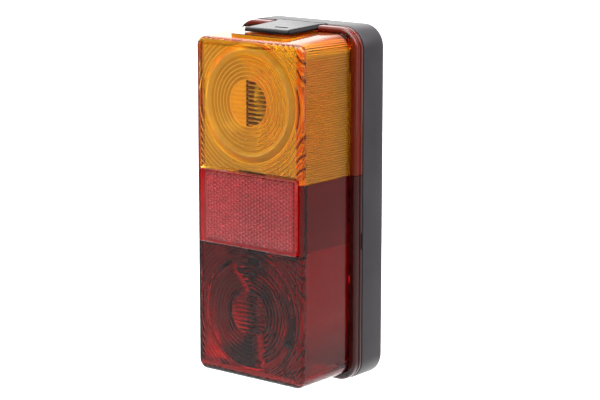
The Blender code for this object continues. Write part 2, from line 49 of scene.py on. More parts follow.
def in_mm(node):
    """A CAD node's lowest and highest corner, in millimetres."""
    low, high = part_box(node)
    return low / MM, high / MM


HOUSING_LOW, HOUSING_HIGH = in_mm("housing")
AMBER_LOW, AMBER_HIGH = in_mm("lens_amber")
RED_HIGH = in_mm("lens_red")[1]
REFLEX_LOW, REFLEX_HIGH = in_mm("reflex_reflector")
LATCH_LOW, LATCH_HIGH = in_mm("latch")
PIN_LOW = in_mm("latch_pin")[0]
GLASS_LOW, GLASS_HIGH = in_mm("glass_indicator")
GROMMET_LOW, GROMMET_HIGH = in_mm("grommet")

# Cutters pass the face they open by PAST, and some reach right through the lamp
PAST = 1.0
ALL_ACROSS = (-40.0, 40.0)
ALL_DEEP = (-60.0, 0.0)
FAR_UP = 90.0

# Housing tray: insets count inwards from its outer face. BACK_EDGE is inset and depth, RIM_EDGE inset
# and distance behind the rim, and a post is radius, front face and bore radius.
HALF_W = HOUSING_HIGH.x
HALF_H = HOUSING_HIGH.z
RIM_Y = HOUSING_LOW.y
FLOOR_Y = RIM_Y * 0.171
WALL = 5.6
CORNER_R = 10.0
BACK_EDGE = ((2.2, 0.0), (1.2, -0.15), (0.45, -0.6), (0.1, -1.3), (0.0, -2.2))
RIM_EDGE = ((0.0, 0.5), (0.12, 0.15), (0.4, 0.0), (WALL, 0.0))
GROOVE_INSETS = (2.8, 4.6)
GROOVE_DEPTH = 1.8
MOUNT_Z = 65.0
MOUNT_R = 2.6
KNOCKOUT = 0.6
INLET_R = 6.0
INLET_FACE_R = 8.6
INLET_FACE_DEPTH = 1.2
INLET_DEPTH = 4.0
TERMINAL_AT = (22.0, 5.5)
TERMINAL_POST = (3.4, -5.7, 1.25)
FOOT_Z = 19.0
FOOT_POST = (4.0, -4.7, 1.45)
POST_STEPS = 32
POST_EDGE = 0.2
POST_ROOT = 0.3
LIP_X = 18.0
LIP_POCKET_HALF = 4.6
LIP_POCKET_Y = (-12.5, -7.5)
LIP_POCKET_Z = (-75.9, -73.5)

# Latch, and the pocket it lies in at the housing's top edge. TIP_EDGE is distance back and down.
PIN_R = 0.5
EYE_R = 1.0
EYE_STEPS = 16
TIP_DEPTH = 2.0
TIP_EDGE = ((1.5, 0.0), (0.8, 0.15), (0.3, 0.45), (0.0, 1.0))
LATCH_GAP = 0.4
POCKET_DEPTH = 2.3
RELIEF = 1.6
RELIEF_DEPTH = 0.6
RELIEF_LAP = 0.2
SLOPE_WIDTH = 1.5
SLOPE_DEPTH = 2.1
SLOPE_ENDS = (1.6, 2.5)
HOOK_X = (-1.5, 6.5)
HOOK_Y = (-33.2, -31.5)
HOOK_UP = 1.0
HOOK_ROOT = 1.6
SLOT_Y = (-34.2, -32.2)
SLOT_DEPTH = 1.3
LATCH_EDGE = 0.18
LATCH_EDGE_ANGLE = 50
TAPER_START = 2.0
TAPER_LENGTH = 22.0
LATCH_MIDDLE = 2.5
LATCH_HALF = 16.5
TIP_TAPER = 1.6
TIP_DROP = 0.85

# Lens shell: FRONT_EDGE and BACK_OF_WALLS are half-width, low, high and corner radius, FRONT_ROUNDING
# is distance back and inset, and FLANGE_OUTLINE is depth and inset.
FRONT_Y = AMBER_LOW.y
SKIN_Y = FRONT_Y + 2.5
JUNCTION_Y = FRONT_Y + 32.5
FLANGE_Y = AMBER_HIGH.y
FLANGE_W = AMBER_HIGH.x - 0.1
FLANGE_H = AMBER_HIGH.z - 0.1
FLANGE_CORNER = 9.7
FLANGE_OUTLINE = ((JUNCTION_Y, 1.3), (-20.42, 0.8), (-20.2, 0.38), (-19.85, 0.1), (-19.4, 0.0),
                  (-17.8, 0.0), (-17.5, 0.5), (-17.2, 0.5), (-17.05, 0.1), (-16.75, -0.1),
                  (-15.95, -0.1), (-15.65, 0.05), (FLANGE_Y, 0.3))
FRONT_EDGE = (30.3, -76.5, 75.3, 4.4)
FRONT_ROUNDING = ((0.0, 1.7), (0.04, 1.3), (0.18, 0.92), (0.4, 0.58), (0.7, 0.3), (1.1, 0.1), (1.7, 0.0))
BACK_OF_WALLS = (30.95, -76.8, 77.3, 6.0)
SPLIT_AMBER = AMBER_LOW.z
SPLIT_RED = RED_HIGH.z
CORNER_STEPS = 12
FLUTE_PITCH = 1.05
FLUTE_TOP = 67.9
FLUTE_DEPTH = 0.3

# Hollow inside the lens: depth, half-width, corner radius and share of the flutes' depth
CAVITY_SECTIONS = ((FLANGE_Y + PAST, 28.6, 5.0, 0.0), (JUNCTION_Y + 0.6, 28.5, 4.8, 0.0),
                   (JUNCTION_Y, 28.5, 4.6, 1.0), (SKIN_Y, 27.8, 2.4, 1.0))
AMBER_CAVITY = (SPLIT_AMBER - 3.0, 72.9)
RED_CAVITY = (-SPLIT_RED - 3.0, 74.0)
REFLEX_CAVITY = (-20.0, 30.0)

# Ledge under the latch, with a notch for the latch and a recess for its hook
LEDGE_Z = 76.8
LEDGE_ROOT = 74.0
LEDGE = ((-14.5, -47.0), (14.0, -47.0), (16.0, -45.0), (16.0, -19.0), (-16.0, -19.0), (-16.0, -45.5))
NOTCH_GAP = 0.6
NOTCH_Y = (-21.2, -14.0)
RECESS_Y = (-33.9, -31.0)
RECESS_Z = (76.3, 79.0)

# Seat of the reflex reflector, and the snap tongues below: half-width, depths and heights
OPENING_X = (-28.1, 28.1)
OPENING_Y = (-60.0, -49.0)
OPENING_TOP = 30.0
REFLEX_GAP = 0.3
SEAT = ((29.0, (-50.0, -48.4), (-16.9, SPLIT_RED - 0.2)),
        (27.6, (-49.0, -21.0), (SPLIT_RED - 1.6, SPLIT_RED)),
        (27.6, (-49.0, -21.0), (-17.1, -15.5)),
        (29.0, (-50.8, -48.6), (-18.3, -16.95)))
SNAP_TONGUE = ((4.0, (-24.0, -15.55), (-75.0, -72.1)),
               (4.0, (-24.0, -9.5), (-74.1, -72.1)),
               (4.0, (-11.0, -9.5), (-75.4, -72.5)))
SEAT_NOTCH = ((-15.5, 15.5), (-44.0, 0.0), (-18.0, 15.0))
PRY_NOTCH = ((33.4, 36.0), (-16.7, -15.0), (-18.8, -11.6))

# Ring optics cut into the inner face of the front wall: a fluted window in the middle, then fine
# rings, one broad ring and coarse rings
OPTIC_X = -1.1
OPTIC_Z = (47.5, -47.0)
RING_STEPS = 120
COMB_BACK = 0.6
RING_PITCH = 1.8
RING_WIDTH = 0.94 * RING_PITCH
RING_START = 0.05
RING_DEPTH = 1.5
RING_SLOPE = 24.0
FINE_R = 20.0
BROAD_R = 23.4
BROAD_END_R = 25.9
COARSE_R = 43.0
COARSE_DEPTH = 1.25
COARSE_FIRST = 9
RINGS_X = (-29.0, 29.0)
AMBER_RINGS_Z = (REFLEX_HIGH.z + 0.9, 74.0)
RED_RINGS_Z = (-75.0, -18.6)
WINDOW_R = 10.2
WINDOW_HALF = 12.0
WINDOW_PITCH = 1.94
WINDOW_DEPTH = 0.22
WAVE_POINTS = 6
WINDOW_STEPS = 64
WINDOW_REACH = 3.0

# Reflex reflector: a plate with cube corners behind its field
PLATE_Y = -51.6
PLATE_CORNER = 1.2
PLATE_EDGE = ((0.6, 0.0), (0.25, 0.1), (0.05, 0.35), (0.0, 0.7))
CUBE_Y = -52.2
CUBE_PITCH = 1.1
CUBE_ROOT = 0.7
CUBE_EDGE = (2.8, 1.2)

# Bulb glass: a globe that narrows to a neck
GLOBE_R = 13.0
GLOBE_Z = 47.0
GLOBE_STEPS = 12
GLASS_STEPS = 64
NECK_R = 6.8
NECK_FALL = 23.0
GLASS_WALL = 0.7
THINNING_FROM = 40.0
THINNING_LENGTH = 21.0
BULB_Y = -28.0


# ---- mesh helpers, in millimetres ----

def from_bmesh(bm, name):
    """A new object from a bmesh, which it uses up."""
    bmesh.ops.recalc_face_normals(bm, faces=bm.faces)
    mesh = bpy.data.meshes.new(name)
    bm.to_mesh(mesh)
    bm.free()
    obj = bpy.data.objects.new(name, mesh)
    bpy.context.scene.collection.objects.link(obj)
    return obj


def box(name, x, y, z):
    """A box from its lowest and highest value along each axis."""
    bm = bmesh.new()
    bmesh.ops.create_cube(bm, size=1.0)
    size = Vector((x[1] - x[0], y[1] - y[0], z[1] - z[0])) * MM
    middle = Vector((x[0] + x[1], y[0] + y[1], z[0] + z[1])) * (MM / 2)
    bmesh.ops.scale(bm, vec=size, verts=bm.verts)
    bmesh.ops.translate(bm, vec=middle, verts=bm.verts)
    return from_bmesh(bm, name)


def prism(name, outline, low, high, axis):
    """An outline in the plane across the axis, extruded from low to high along it."""
    bm = bmesh.new()
    order = {"X": (2, 0, 1), "Y": (0, 2, 1), "Z": (0, 1, 2)}[axis]
    ring = []
    for u, v in outline:
        point = (u, v, low)
        ring.append(bm.verts.new([point[i] * MM for i in order]))
    base = bm.faces.new(ring)
    grown = bmesh.ops.extrude_face_region(bm, geom=[base], use_keep_orig=True)["geom"]
    far = [part for part in grown if isinstance(part, bmesh.types.BMVert)]
    along = [0.0, 0.0, high - low]
    bmesh.ops.translate(bm, vec=[along[i] * MM for i in order], verts=far)
    return from_bmesh(bm, name)


def rounded(half_x, low, high, radius, y, steps=CORNER_STEPS):
    """A rounded rectangle's points across the lamp at one depth."""
    points = []
    for index, (side, level) in enumerate(((1, high), (-1, high), (-1, low), (1, low))):
        up = 1 if level == high else -1
        for step in range(steps + 1):
            angle = math.radians(90 * (index + step / steps))
            x = side * (half_x - radius) + radius * math.cos(angle)
            z = level - up * radius + radius * math.sin(angle)
            points.append((x * MM, y * MM, z * MM))
    return points


def loft(name, sections, closed_ring=False):
    """Skins rings of equal count in order, with end caps, or round to the first when closed_ring."""
    bm = bmesh.new()
    rings = [[bm.verts.new(p) for p in section] for section in sections]
    pairs = list(zip(rings, rings[1:]))
    if closed_ring:
        pairs.append((rings[-1], rings[0]))
    count = len(rings[0])
    for first, second in pairs:
        for i in range(count):
            j = (i + 1) % count
            bm.faces.new((first[i], first[j], second[j], second[i]))
    if not closed_ring:
        bm.faces.new(rings[0])
        bm.faces.new(rings[-1])
    return from_bmesh(bm, name)


def turned(name, profile, at, axis, steps=48):
    """A profile of radius and height, turned about an axis through the point and baked in place."""
    mesh = bpy.data.meshes.new(name)
    verts = [(radius * MM, 0.0, height * MM) for radius, height in profile]
    edges = [(i, i + 1) for i in range(len(verts) - 1)]
    if profile[0][0] > 0 or profile[-1][0] > 0:
        edges.append((len(verts) - 1, 0))
    mesh.from_pydata(verts, edges, [])
    obj = bpy.data.objects.new(name, mesh)
    bpy.context.scene.collection.objects.link(obj)
    mod = obj.modifiers.new("turn", "SCREW")
    mod.steps = steps
    mod.render_steps = steps
    mod.use_merge_vertices = True
    mod.merge_threshold = 0.000005
    turns = {"Z": (0, 0, 0), "-Z": (math.pi, 0, 0), "Y": (-math.pi / 2, 0, 0)}
    obj.location = Vector(at) * MM
    obj.rotation_euler = turns[axis]
    return bake(obj)


def bake(obj):
    """Applies the modifiers and the placing, so the mesh lies in the frame's own coordinates."""
    bpy.context.view_layer.update()
    graph = bpy.context.evaluated_depsgraph_get()
    mesh = bpy.data.meshes.new_from_object(obj.evaluated_get(graph))
    mesh.transform(obj.matrix_world)
    old = obj.data
    obj.modifiers.clear()
    obj.data = mesh
    bpy.data.meshes.remove(old)
    obj.location = (0, 0, 0)
    obj.rotation_euler = (0, 0, 0)
    return obj


def combine(obj, cutters, operation, solver="EXACT"):
    """Runs one boolean with each cutter in turn and removes the cutter."""
    for cutter in cutters:
        mod = obj.modifiers.new(operation.lower(), "BOOLEAN")
        mod.operation = operation
        mod.solver = solver
        mod.object = cutter
        bake(obj)
        bpy.data.objects.remove(cutter)
    return obj


def cut(obj, *cutters, solver="EXACT"):
    """Takes the cutters away from the piece."""
    return combine(obj, cutters, "DIFFERENCE", solver)


def join(obj, *others, solver="EXACT"):
    """Makes one solid of the piece and the others."""
    return combine(obj, others, "UNION", solver)


def soften(obj, width, angle):
    """Rounds every edge sharper than the angle."""
    mod = obj.modifiers.new("soften", "BEVEL")
    mod.width = width * MM
    mod.segments = 2
    mod.limit_method = "ANGLE"
    mod.angle_limit = math.radians(angle)
    mod.harden_normals = False
    return bake(obj)


def place(obj, body, look, node, angle=30):
    """Shades a finished piece, gives it its material and lets it ride on its body."""
    obj.data.materials.clear()
    obj.data.materials.append(look)
    obj.data.shade_smooth()
    obj.data.set_sharp_from_angle(angle=math.radians(angle))
    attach(obj, body)
    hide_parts(node)
    return obj


# ---- materials ----

PLASTIC_IOR = 1.49
FLOW_SCALE = 18.0
POLISH_SCALE = 900.0
BROAD_SCALE = 45.0
GRAIN_SCALE = 1400.0
GRAIN_DEPTH = 0.02
MARK_SCALE = 600.0
MARK_DEPTH = 0.01
TEXTURE_RANGE = (0.3, 0.7)
DYED_GLOSS = 0.03
DYE_FLOW = ((1.0, 1.0, 1.0), (0.96, 0.94, 0.92))

# Lowest and highest share of a look's roughness
GLASS_VARIES = (0.6, 1.6)
PLASTIC_VARIES = (0.5, 1.6)
GRAIN_VARIES = (0.85, 1.15)
METAL_VARIES = (0.7, 1.4)

# Where the frosted inner faces of the lens begin or end, and the share of light that each scatters. The
# lines on the rings, window, flutes and bend are painted bright lines, the right rim band and the ledge
# carry a painted glow, and the slashes and the flange's brim a painted shade
FROST_Y = (SKIN_Y - 1.8, JUNCTION_Y + 1.0)
FRONT_WALL_Y = SKIN_Y + 1.0
INSIDE_X = 29.0
WALL_X = 27.6
FLUTE_START = FLUTE_TOP - 0.25 * FLUTE_PITCH
WALL_FADE = (-74.0, -48.0)
MIDDLE_Z = (-16.0, SPLIT_RED)
MIDDLE_SHARE = 0.5
RINGED_X = 26.3
# Painted bright lines at the ring steps, and a painted bright band over the steep rings
RING_LINE = 0.3
SMOOTH_RING = (23.7, 2.6)
STEEP_RING = (21.2, 23.4)
STEEP_SHARE = 0.5
# Painted bright stripes on one side of the window, painted light over the other side
WINDOW_LINE = 0.35
WINDOW_SHARE = 0.55
WINDOW_SPLIT = -1.2
CEILING = (72.6, 74.4)
# Painted bright slanted stripes in the bend between side wall and ceiling
BEND_AT = (23.7, 69.4)
BEND_X = 24.5
BEND_STRIPES = 5.1
BEND_SHARE = 0.12
BEND_CONTRAST = 2.2
# Painted glow on the right rim band of the front wall, crossed by painted shade slashes
RIM_X = 25.9
# Painted shade slashes across the rim band
SLASH_LINE = 0.2
# Painted glow on the ledge under the latch
LEDGE_FROST_Z = (75.6, LEDGE_Z - 0.25)
LEDGE_HALF = 16.2
LEDGE_SHARE = 0.5
# Painted shade on the outer edge of the flange
BRIM_X = 30.98
BRIM_Z = (-77.0, 77.75)
BRIM_Y = JUNCTION_Y - 0.4
SEEN = 0.1

# What the faces of each lens scatter: heights in millimetres, then shares of the light, then colours. The
# line shares paint bright lines, the side walls' darkening is painted shade, the first colour is a painted
# glow and the second a painted shade colour
AMBER_FROST_AND_PAINT = {
    "centre_z": OPTIC_Z[0],
    "heights": (SPLIT_AMBER, 74.0),
    "foot": 1.0,
    "walls": 0.45,
    # extra share for painted bright lines along the flutes and the bend
    "flutes": 0.35,
    # darkens the side walls' colour: painted shade
    "painted_wall_shade": 0.38,
    "rings": 0.54,
    # extra share for painted bright lines on the rings
    "ring_lines": 0.46,
    "ring_heights": (17.4, 71.6),
    # the window's painted light and painted bright stripes
    "window": 0.97,
    "rim": 0.9,
    "brim": 0.8,
    # painted glow colour on the right rim band and the ledge
    "painted_glow_colour": (0.92, 0.40, 0.01),
    # painted shade colour on the slashes and the flange's brim
    "painted_shade_colour": (0.12, 0.008, 0.001),
}
RED_FROST_AND_PAINT = {
    "centre_z": OPTIC_Z[1],
    "heights": (-74.3, SPLIT_RED + 1),
    "foot": 0.1,
    "walls": 1.0,
    "flutes": 0.0,
    "painted_wall_shade": 0.0,
    "rings": 0.0,
    # extra share for painted bright lines on the rings
    "ring_lines": 0.1,
    "ring_heights": (-72.0, -18.5),
    "window": 0.0,
    "rim": 0.9,
    "brim": 0.7,
    # painted glow colour on the right rim band and the ledge
    "painted_glow_colour": (0.55, 0.002, 0.002),
    # painted shade colour on the slashes and the flange's brim
    "painted_shade_colour": (0.040, 0.002, 0.002),
}

# Frosted cube corners behind the reflex field, and the plain border round them
FIELD_X = REFLEX_HIGH.x - 2.9
FIELD_Z = REFLEX_HIGH.z - 1.3
FIELD_DEPTHS = (CUBE_Y, -50.8)
FIELD_SHARES = (0.012, 0.88)
BORDER_Y = -52.0
BORDER_SHARE = 0.6
BORDER_COLOUR = (0.75, 0.012, 0.01)


def new_material(name):
    """A material with its nodes, its links and its main shader."""
    mat = bpy.data.materials.new(name)
    mat.use_nodes = True
    return mat, mat.node_tree.nodes, mat.node_tree.links, mat.node_tree.nodes["Principled BSDF"]


def noise(nodes, links, scale, detail=3.0):
    """A noise texture that stays fixed to the piece."""
    place_in = nodes.new("ShaderNodeTexCoord")
    texture = nodes.new("ShaderNodeTexNoise")
    texture.inputs["Scale"].default_value = scale
    texture.inputs["Detail"].default_value = detail
    links.new(place_in.outputs["Object"], texture.inputs["Vector"])
    return texture


def ramp(nodes, links, source, start, end):
    """Maps one span of values onto another."""
    span = nodes.new("ShaderNodeMapRange")
    span.inputs["From Min"].default_value = start[0]
    span.inputs["From Max"].default_value = start[1]
    span.inputs["To Min"].default_value = end[0]
    span.inputs["To Max"].default_value = end[1]
    links.new(source, span.inputs["Value"])
    return span


def spread(nodes, links, source, low, high):
    """Maps a texture's middle range onto a span of values."""
    return ramp(nodes, links, source, TEXTURE_RANGE, (low, high)).outputs["Result"]


def tint(nodes, links, share, first, second):
    """Goes from the first colour to the second as the share grows; each is a colour or a socket."""
    mix = nodes.new("ShaderNodeMix")
    mix.data_type = "RGBA"
    for name, colour in (("A", first), ("B", second)):
        if isinstance(colour, tuple):
            mix.inputs[name].default_value = (*colour, 1.0)
        else:
            links.new(colour, mix.inputs[name])
    links.new(share, mix.inputs["Factor"])
    return mix.outputs["Result"]


def gloss(nodes, links, shader, source, roughness, varies):
    """Roughness that follows a texture."""
    low, high = varies
    links.new(spread(nodes, links, source, roughness * low, roughness * high), shader.inputs["Roughness"])


def bump(nodes, links, shader, source, strength, depth):
    """Fine relief, with its depth in millimetres."""
    node = nodes.new("ShaderNodeBump")
    node.inputs["Strength"].default_value = strength
    node.inputs["Distance"].default_value = depth * MM
    links.new(source, node.inputs["Height"])
    links.new(node.outputs["Normal"], shader.inputs["Normal"])


def math_node(nodes, links, operation, first, second=None):
    """A value worked out from one or two sockets or numbers."""
    node = nodes.new("ShaderNodeMath")
    node.operation = operation
    for index, value in enumerate((first, second)):
        if value is None:
            continue
        if isinstance(value, (int, float)):
            node.inputs[index].default_value = value
        else:
            links.new(value, node.inputs[index])
    return node.outputs["Value"]


def clear_glass(name, first, second, roughness, ior):
    """Clear glass: its tone varies a little, and the gloss too."""
    mat, nodes, links, shader = new_material(name)
    flow = noise(nodes, links, FLOW_SCALE)
    shade = spread(nodes, links, flow.outputs["Fac"], 0.0, 1.0)
    links.new(tint(nodes, links, shade, first, second), shader.inputs["Base Color"])
    fine = noise(nodes, links, POLISH_SCALE, 2.0)
    gloss(nodes, links, shader, fine.outputs["Fac"], roughness, GLASS_VARIES)
    shader.inputs["Transmission Weight"].default_value = 1.0
    shader.inputs["IOR"].default_value = ior
    return mat


class Places:
    """Works out masks from each point's place on a piece, with limits in millimetres. A mask goes from
    0 to 1; both() multiplies two masks and most() keeps the larger."""

    def __init__(self, nodes, links):
        self.nodes = nodes
        self.links = links
        source = nodes.new("ShaderNodeTexCoord")
        split = nodes.new("ShaderNodeSeparateXYZ")
        links.new(source.outputs["Object"], split.inputs["Vector"])
        self.x = split.outputs["X"]
        self.y = split.outputs["Y"]
        self.z = split.outputs["Z"]
        self.across = self.calc("ABSOLUTE", self.x)

    def calc(self, operation, first, second=None):
        return math_node(self.nodes, self.links, operation, first, second)

    def both(self, first, second):
        return self.calc("MULTIPLY", first, second)

    def most(self, first, second):
        return self.calc("MAXIMUM", first, second)

    def above(self, value, limit):
        return self.calc("GREATER_THAN", value, limit * MM)

    def below(self, value, limit):
        return self.calc("LESS_THAN", value, limit * MM)

    def between(self, value, low, high):
        return self.both(self.above(value, low), self.below(value, high))

    def stripes(self, value, pitch, share):
        """Repeats along a value, each stripe taking the given share of the pitch."""
        phase = self.calc("FRACT", self.calc("DIVIDE", value, pitch * MM))
        return self.calc("LESS_THAN", phase, share)


def wall_frost_and_painted_lines(places, frost_and_paint):
    """Side walls, frosted, with painted bright lines in level stripes along the flutes."""
    # Painted bright lines: more scatter on every other flute
    flutes = places.stripes(places.calc("SUBTRACT", places.z, FLUTE_START * MM), FLUTE_PITCH, 0.5)
    share = places.calc("ADD", frost_and_paint["walls"], places.both(flutes, frost_and_paint["flutes"]))
    fade_from, fade_to = WALL_FADE
    fade = ramp(places.nodes, places.links, places.z, (fade_from * MM, fade_to * MM), (frost_and_paint["foot"], 1.0))
    share = places.both(share, fade.outputs["Result"])
    middle = places.both(places.between(places.z, *MIDDLE_Z), MIDDLE_SHARE)
    share = places.both(share, places.calc("SUBTRACT", 1.0, middle))
    share = places.both(places.above(places.across, WALL_X), share)
    return places.both(share, places.above(places.y, FRONT_WALL_Y))


def ring_frost_and_painted_lines(places, frost_and_paint, radius, outward):
    """Prism rings on the front wall, frosted, with a painted bright line at each step, a painted bright
    band over the steep rings and no lines on the smooth broad ring.
    """
    near = places.between(places.z, *frost_and_paint["ring_heights"])
    near = places.both(near, places.below(places.across, RINGED_X))
    ringed = places.both(places.above(radius, WINDOW_R), near)
    # Painted bright lines at the ring steps and a painted bright band on the steep rings
    line = places.stripes(outward, RING_PITCH, RING_LINE)
    middle, half = SMOOTH_RING
    smooth = places.between(radius, middle - half, middle + half)
    line = places.both(line, places.calc("SUBTRACT", 1.0, smooth))
    line = places.most(line, places.both(places.between(radius, *STEEP_RING), STEEP_SHARE))
    level = places.calc("ADD", frost_and_paint["rings"], places.both(line, frost_and_paint["ring_lines"]))
    return places.both(ringed, level)


def window_frost_and_painted_light(places, offset, up, radius):
    """The window in the middle of an optic: evenly frosted on one side, as painted light from the lit side
    wall seen through it, and painted bright level stripes on the other.
    """
    # Painted bright stripes on one side, and painted light over the whole other side
    stripes = places.stripes(up, WINDOW_PITCH, WINDOW_LINE)
    pane = places.both(stripes, places.above(offset, 0.0))
    pane = places.most(places.both(pane, WINDOW_SHARE), places.below(offset, WINDOW_SPLIT))
    return places.both(pane, places.between(radius, -1.0, WINDOW_R))


def bend_frost_and_painted_stripes(places, frost_and_paint):
    """Painted bright slanted stripes over a light frost in the bend between side wall and ceiling."""
    bend_x, bend_z = BEND_AT
    rise = places.calc("SUBTRACT", places.z, bend_z * MM)
    turn = places.calc("ARCTAN2", rise, places.calc("SUBTRACT", places.across, bend_x * MM))
    # Painted bright slanted stripes
    stripe = places.calc("LESS_THAN", places.calc("FRACT", places.both(turn, BEND_STRIPES)), 0.5)
    bend = places.both(places.between(places.z, bend_z, CEILING[1]), places.above(places.across, BEND_X))
    bend = places.both(bend, places.above(places.y, FRONT_WALL_Y))
    share = places.calc("ADD", BEND_SHARE, places.both(stripe, frost_and_paint["flutes"] * BEND_CONTRAST))
    return places.both(bend, share)


def flange_brim(places):
    """The outer edge of the flange, behind the side walls, which gets a painted shade colour."""
    bottom, top = BRIM_Z
    outer = places.most(places.above(places.across, BRIM_X), places.above(places.z, top))
    outer = places.most(outer, places.below(places.z, bottom))
    return places.both(outer, places.above(places.y, BRIM_Y))


def lens_frost_and_painted_light(nodes, links, colour, frost_and_paint):
    """The share of light scattered at each place of a lens, and the colour there, including painted bright
    lines, a painted glow on the right rim band and the ledge, and painted shade on the side walls, the
    slashes and the flange's brim.
    """
    places = Places(nodes, links)
    inside = places.between(places.z, *frost_and_paint["heights"])
    inside = places.both(inside, places.below(places.across, INSIDE_X))
    inside = places.both(inside, places.between(places.y, *FROST_Y))
    walls = wall_frost_and_painted_lines(places, frost_and_paint)
    offset = places.calc("SUBTRACT", places.x, OPTIC_X * MM)
    up = places.calc("SUBTRACT", places.z, frost_and_paint["centre_z"] * MM)
    radius = places.calc("SQRT", places.calc("ADD", places.both(offset, offset), places.both(up, up)))
    outward = places.calc("SUBTRACT", radius, WINDOW_R * MM)
    share = places.most(ring_frost_and_painted_lines(places, frost_and_paint, radius, outward), walls)
    share = places.most(share, places.both(window_frost_and_painted_light(places, offset, up, radius), frost_and_paint["window"]))
    low, high = CEILING
    ceiling = places.most(places.between(places.z, low, high), places.between(places.z, -high, -low))
    share = places.most(share, places.both(ceiling, frost_and_paint["walls"]))
    share = places.most(share, bend_frost_and_painted_stripes(places, frost_and_paint))
    front = places.between(places.y, FROST_Y[0], FRONT_WALL_Y)
    # Only the right rim band of the front wall: frosted and given a painted glow colour, standing in for
    # light seen through the wall's edge
    rim = places.both(places.both(places.above(places.x, RIM_X), front), inside)
    share = places.most(places.both(inside, share), places.both(rim, frost_and_paint["rim"]))
    # Dark slashes across the rim band at every second ring: painted shade
    slashes = places.both(rim, places.stripes(outward, 2 * RING_PITCH, SLASH_LINE))
    slashes = places.both(slashes, places.between(places.z, *frost_and_paint["ring_heights"]))
    # The flange's outer edge is frosted and given a painted shade colour
    brim = flange_brim(places)
    share = places.most(share, places.both(brim, frost_and_paint["brim"]))
    # The ledge under the latch is frosted and given the painted glow colour
    ledge = places.both(places.between(places.z, *LEDGE_FROST_Z), places.below(places.across, LEDGE_HALF))
    ledge = places.both(ledge, LEDGE_SHARE)
    share = places.most(share, ledge)

    # The frosted side walls are darkened: painted shade
    painted_wall_shade = places.both(places.both(walls, inside), frost_and_paint["painted_wall_shade"])
    colour = tint(nodes, links, places.calc("SUBTRACT", 1.0, painted_wall_shade), (0.0, 0.0, 0.0), colour)
    # Painted glow colour on the rim band and the ledge
    bright = places.calc("GREATER_THAN", places.most(ledge, rim), SEEN)
    colour = tint(nodes, links, bright, colour, frost_and_paint["painted_glow_colour"])
    # Painted shade colour on the slashes and the flange's brim
    painted_dark = places.calc("GREATER_THAN", places.most(slashes, brim), SEEN)
    return share, tint(nodes, links, painted_dark, colour, frost_and_paint["painted_shade_colour"])


def frost_cubes(nodes, links, colour):
    """The cube corners behind the reflex field scatter part of the light, and so does their border."""
    places = Places(nodes, links)
    front, back = FIELD_DEPTHS
    share = ramp(nodes, links, places.y, (front * MM, back * MM), FIELD_SHARES).outputs["Result"]
    share = places.both(share, places.below(places.across, FIELD_X))
    share = places.both(share, places.below(places.calc("ABSOLUTE", places.z), FIELD_Z))
    border = places.both(places.above(places.y, BORDER_Y), places.calc("LESS_THAN", share, 0.001))
    colour = tint(nodes, links, border, colour, BORDER_COLOUR)
    return places.most(share, places.both(border, BORDER_SHARE)), colour


def dyed_plastic(name, dye, density, scatter_and_colour, *settings):
    """Clear plastic dyed right through, so thick places and edges show deeper. The function passed in says
    where its inner faces scatter light and what colour they show there; for the lenses that colour holds
    painted glow and painted shade."""
    mat, nodes, links, shader = new_material(name)
    flow = noise(nodes, links, FLOW_SCALE)
    shade = spread(nodes, links, flow.outputs["Fac"], 0.0, 1.0)
    colour = tint(nodes, links, shade, *DYE_FLOW)
    fine = noise(nodes, links, POLISH_SCALE, 2.0)
    gloss(nodes, links, shader, fine.outputs["Fac"], DYED_GLOSS, PLASTIC_VARIES)
    share, colour = scatter_and_colour(nodes, links, colour, *settings)
    links.new(colour, shader.inputs["Base Color"])
    shader.inputs["Transmission Weight"].default_value = 1.0
    links.new(math_node(nodes, links, "SUBTRACT", 1.0, share), shader.inputs["Transmission Weight"])
    shader.inputs["IOR"].default_value = PLASTIC_IOR
    inside = nodes.new("ShaderNodeVolumeAbsorption")
    inside.inputs["Color"].default_value = (*dye, 1.0)
    inside.inputs["Density"].default_value = density
    links.new(inside.outputs["Volume"], nodes["Material Output"].inputs["Volume"])
    return mat


def moulded(name, first, second, roughness):
    """Opaque moulded plastic or rubber with a fine surface grain."""
    mat, nodes, links, shader = new_material(name)
    broad = noise(nodes, links, BROAD_SCALE, 4.0)
    shade = spread(nodes, links, broad.outputs["Fac"], 0.0, 1.0)
    links.new(tint(nodes, links, shade, first, second), shader.inputs["Base Color"])
    fine = noise(nodes, links, GRAIN_SCALE)
    gloss(nodes, links, shader, fine.outputs["Fac"], roughness, GRAIN_VARIES)
    bump(nodes, links, shader, fine.outputs["Fac"], 0.5, GRAIN_DEPTH)
    return mat


def metal(name, first, second, roughness, stretch=(1.0, 1.0, 1.0)):
    """Drawn, turned or rolled metal with marks stretched along its working direction."""
    mat, nodes, links, shader = new_material(name)
    source = nodes.new("ShaderNodeTexCoord")
    mapping = nodes.new("ShaderNodeMapping")
    mapping.inputs["Scale"].default_value = stretch
    marks = nodes.new("ShaderNodeTexNoise")
    marks.inputs["Scale"].default_value = MARK_SCALE
    marks.inputs["Detail"].default_value = 4.0
    links.new(source.outputs["Object"], mapping.inputs["Vector"])
    links.new(mapping.outputs["Vector"], marks.inputs["Vector"])
    shade = spread(nodes, links, marks.outputs["Fac"], 0.0, 1.0)
    links.new(tint(nodes, links, shade, first, second), shader.inputs["Base Color"])
    gloss(nodes, links, shader, marks.outputs["Fac"], roughness, METAL_VARIES)
    shader.inputs["Metallic"].default_value = 1.0
    bump(nodes, links, shader, marks.outputs["Fac"], 0.25, MARK_DEPTH)
    return mat


# ---- housing and latch ----

def housing_section(inset, y):
    """The tray's outline at one depth."""
    return rounded(HALF_W - inset, inset - HALF_H, HALF_H - inset, CORNER_R - 0.95 * inset, y)


